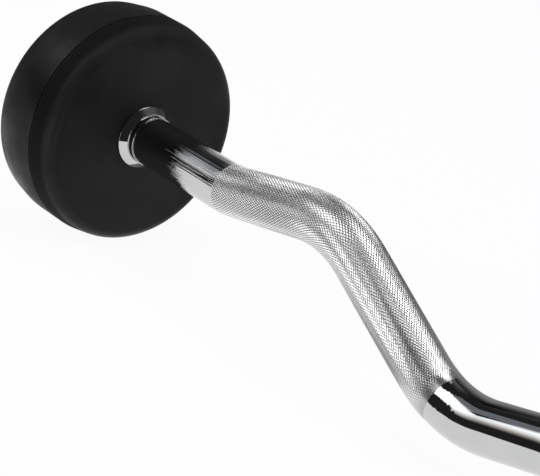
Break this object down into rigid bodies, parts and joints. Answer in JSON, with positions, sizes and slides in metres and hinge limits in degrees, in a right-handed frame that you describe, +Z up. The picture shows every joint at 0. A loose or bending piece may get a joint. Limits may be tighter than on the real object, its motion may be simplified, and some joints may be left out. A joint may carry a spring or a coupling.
{
  "type": "curl barbell",
  "caption": "Fixed-weight curl barbell: a chromed bar bent in a shallow wave, with knurled grips, carries a round rubber-covered head on a plated collar at each end.",
  "frame": {"origin": "middle of the line through both heads, halfway along the bar", "axes": "+X along the bar, +Z up with the bar's dips hanging down, camber in the XZ plane"},
  "size_m": [0.869, 0.1424, 0.1424],
  "materials": {
    "bar_chrome": "polished, knurled grips",
    "collar_chrome": "polished",
    "rubber": "matte moulded",
    "cast_core": "as cast, turned bore",
    "fastener_steel": "zinc plated",
    "cap_plastic": "matte moulded"
  },
  "bodies": {
    "root": {"ez_bar": "bar_chrome", "left_collar": "collar_chrome", "left_rubber_casing": "rubber", "left_weight_core": "cast_core", "left_locking_pin": "fastener_steel", "left_flat_washer": "fastener_steel", "left_spring_washer": "fastener_steel", "left_socket_screw": "fastener_steel", "left_end_cap": "cap_plastic", "right_collar": "collar_chrome", "right_rubber_casing": "rubber", "right_weight_core": "cast_core", "right_locking_pin": "fastener_steel", "right_flat_washer": "fastener_steel", "right_spring_washer": "fastener_steel", "right_socket_screw": "fastener_steel", "right_end_cap": "cap_plastic"}
  },
  "joints": []
}
